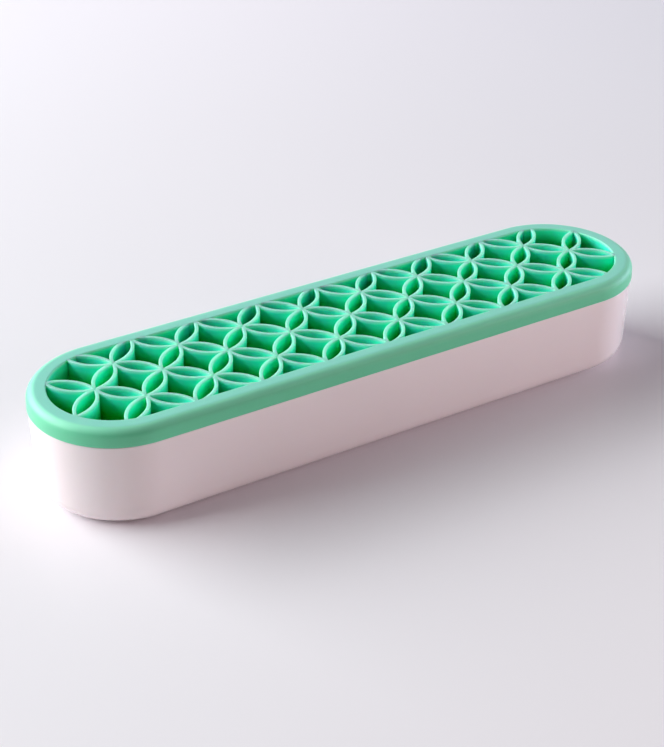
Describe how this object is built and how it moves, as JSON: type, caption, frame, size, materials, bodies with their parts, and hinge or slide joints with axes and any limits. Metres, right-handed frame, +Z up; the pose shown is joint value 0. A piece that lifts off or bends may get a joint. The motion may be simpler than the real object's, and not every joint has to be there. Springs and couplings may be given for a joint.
{
  "type": "tool tray",
  "caption": "Long desk tray for hand tools: a plastic tub with round ends and a push-on silicone insert whose leaf-shaped walls hold tools upright.",
  "frame": {"origin": "on the surface the tray stands on, under the middle of the tray", "axes": "+Z up, +X along the tray, -Y is the front seen in the picture"},
  "size_m": [0.3192, 0.0804, 0.0513],
  "materials": {
    "tub_plastic": "gloss white moulded plastic",
    "mint_silicone": "satin mint green silicone",
    "foot_rubber": "pale satin rubber"
  },
  "bodies": {
    "tub": {"tray_base": "tub_plastic", "foot_front_left": "foot_rubber", "foot_front_right": "foot_rubber", "foot_back_left": "foot_rubber", "foot_back_right": "foot_rubber"},
    "insert": {"silicone_insert": "mint_silicone"}
  },
  "joints": [
    {"name": "insert_lift", "type": "slide", "parent": "tub", "child": "insert", "axis": [0, 0, 1], "range_m": [0, 0.045]}
  ]
}
